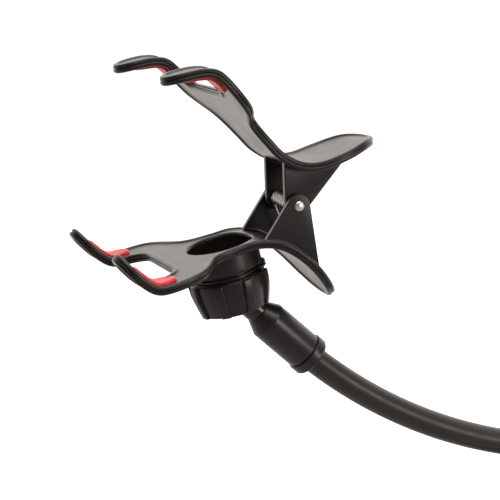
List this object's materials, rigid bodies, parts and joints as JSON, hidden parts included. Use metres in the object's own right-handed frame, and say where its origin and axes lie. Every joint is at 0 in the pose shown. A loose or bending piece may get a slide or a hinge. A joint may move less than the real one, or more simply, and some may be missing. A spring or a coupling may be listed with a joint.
{
  "type": "dashboard device mount",
  "caption": "Spring clip with forked jaws and soft grip pads on a ball joint, carried by a bendable arm from a lever suction base.",
  "frame": {"origin": "centre of the suction cup's lip, in the plane of the surface that it is pressed on", "axes": "+Z away from that surface, -X towards the clip's gripping side, +Y along the clip's hinge pin, away from the viewer of the picture"},
  "size_m": [0.235, 0.068, 0.2474],
  "materials": {
    "jaw_plastic": "fine satin moulded texture, near black",
    "pad_rubber": "soft satin red rubber",
    "rivet_nickel": "bright nickel plate",
    "spring_steel": "drawn steel wire and turned steel",
    "joint_plastic": "satin moulded black",
    "ball_plastic": "smooth black",
    "arm_rubber": "smooth satin black sleeve",
    "core_metal": "plain drawn metal",
    "base_plastic": "satin moulded black",
    "cup_rubber": "soft smooth black rubber"
  },
  "bodies": {
    "base": {"base_housing": "base_plastic", "suction_cup": "cup_rubber", "ferrule": "joint_plastic", "ferrule_ring": "joint_plastic", "ferrule_screw": "spring_steel", "arm_sleeve": "arm_rubber", "arm_core": "core_metal"},
    "stud": {"cup_stud": "spring_steel"},
    "lever": {"cam_lever": "base_plastic", "lever_pin": "rivet_nickel"},
    "stem": {"stem_sleeve": "joint_plastic", "stem_ring": "joint_plastic", "ball_stud": "ball_plastic"},
    "nut": {"collar_nut": "joint_plastic"},
    "clip": {"lower_jaw": "jaw_plastic", "lower_pad_near": "pad_rubber", "lower_pad_far": "pad_rubber", "pivot_pin": "rivet_nickel", "clip_spring": "spring_steel"},
    "upper": {"upper_jaw": "jaw_plastic", "upper_pad_near": "pad_rubber", "upper_pad_far": "pad_rubber"}
  },
  "joints": [
    {"name": "stud_slide", "type": "slide", "parent": "base", "child": "stud", "axis": [0, 0, 1], "range_m": [-0.0022, 0]},
    {"name": "lever_flip", "type": "hinge", "parent": "stud", "child": "lever", "pos_m": [0, 0, 0.021], "axis": [0, 1, 0], "range_deg": [0, 85]},
    {"name": "arm_bend", "type": "hinge", "parent": "base", "child": "stem", "pos_m": [-0.022, 0, 0.1029], "axis": [0, 1, 0], "range_deg": [-35, 35], "deforming": ["arm_sleeve", "arm_core"]},
    {"name": "head_tilt", "type": "hinge", "parent": "stem", "child": "nut", "pos_m": [-0.13881, 0, 0.16944], "axis": [0, 1, 0], "range_deg": [-69, 0.3]},
    {"name": "clip_swivel", "type": "hinge", "parent": "nut", "child": "clip", "pos_m": [-0.13881, 0, 0.16944], "axis": [-0.2436, 0, 0.9699], "range_deg": [-180, 180]},
    {"name": "clip_open", "type": "hinge", "parent": "clip", "child": "upper", "pos_m": [-0.11845, 0, 0.19858], "axis": [0, 1, 0], "range_deg": [-44, 38], "stiffness_Nm_per_rad": 0.35, "springref_deg": -108.86, "deforming": ["clip_spring"]}
  ],
  "couplings": [
    {"joint": "lever_flip", "follows": "stud_slide", "rad_per_m": -674.3}
  ]
}
